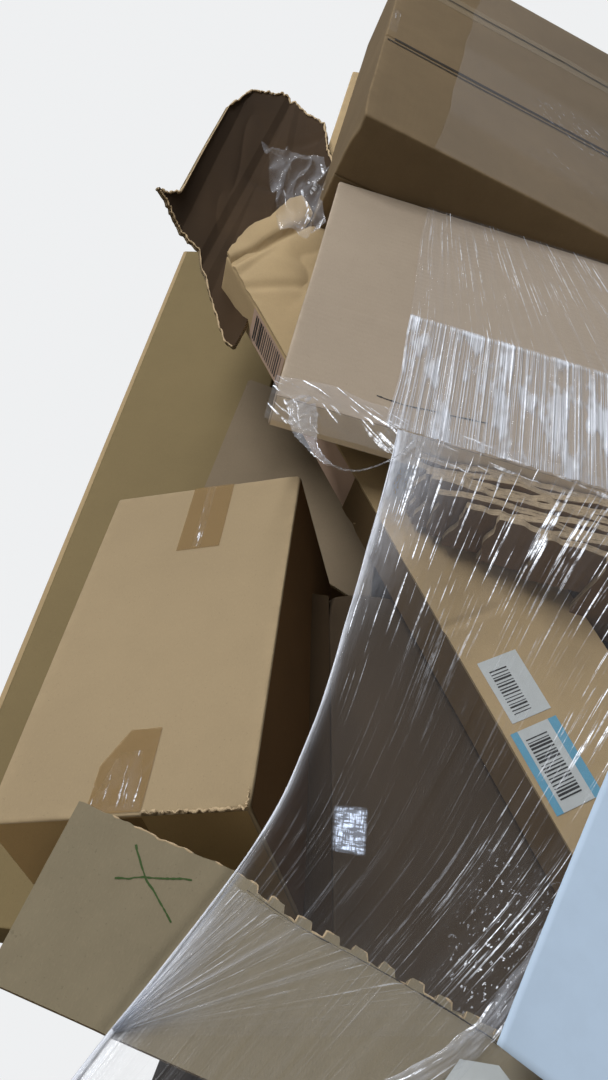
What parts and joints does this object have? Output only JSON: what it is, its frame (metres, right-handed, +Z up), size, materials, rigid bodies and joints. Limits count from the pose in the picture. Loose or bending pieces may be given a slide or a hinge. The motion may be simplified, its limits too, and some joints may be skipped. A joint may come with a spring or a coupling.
{
  "type": "shrink wrapped pallet load",
  "caption": "A stretch wrapped pallet load of used, torn and leaning cardboard cartons with loose film edges and flattened sheets.",
  "frame": {"origin": "the middle of the pallet's underside on the floor", "axes": "+X runs to the right along the pallet's length seen from the front, +Y runs to the back, +Z is up"},
  "size_m": [1.3378, 1.0764, 2.4236],
  "materials": {
    "pallet_wood": "rough sawn",
    "brown_board": "matte",
    "yellow_board": "matte",
    "olive_board": "matte",
    "grey_board": "matte",
    "light_board": "matte",
    "dark_board": "matte",
    "sheet_board": "matte",
    "stretch_film": "clear and wrinkled",
    "white_paper": "matte"
  },
  "bodies": {
    "root": {"pallet_stringers": "pallet_wood", "pallet_top_boards": "pallet_wood", "pallet_bottom_boards": "pallet_wood", "lower_tier": "brown_board", "middle_tier": "brown_board", "torn_tray": "grey_board", "tray_fill": "brown_board", "sheet_bed": "sheet_board", "crushed_carton": "brown_board", "taped_carton": "yellow_board", "tall_carton": "olive_board", "loose_panel": "grey_board", "dark_carton": "dark_board", "long_carton": "light_board", "long_flap": "light_board", "torn_flaps": "dark_board", "right_carton": "brown_board", "back_carton_lower": "brown_board", "back_carton_upper": "brown_board", "rear_right_carton": "brown_board", "top_back_carton": "brown_board", "top_right_carton": "brown_board", "sheet_stack": "sheet_board", "wide_carton": "grey_board", "wide_neighbour": "grey_board", "top_carton_lower": "brown_board", "top_carton_upper": "brown_board", "narrow_carton": "light_board", "wrap_lower": "stretch_film", "wrap_main": "stretch_film", "wrap_band": "stretch_film", "wrap_top": "stretch_film", "paper_sheet": "white_paper"}
  },
  "joints": []
}
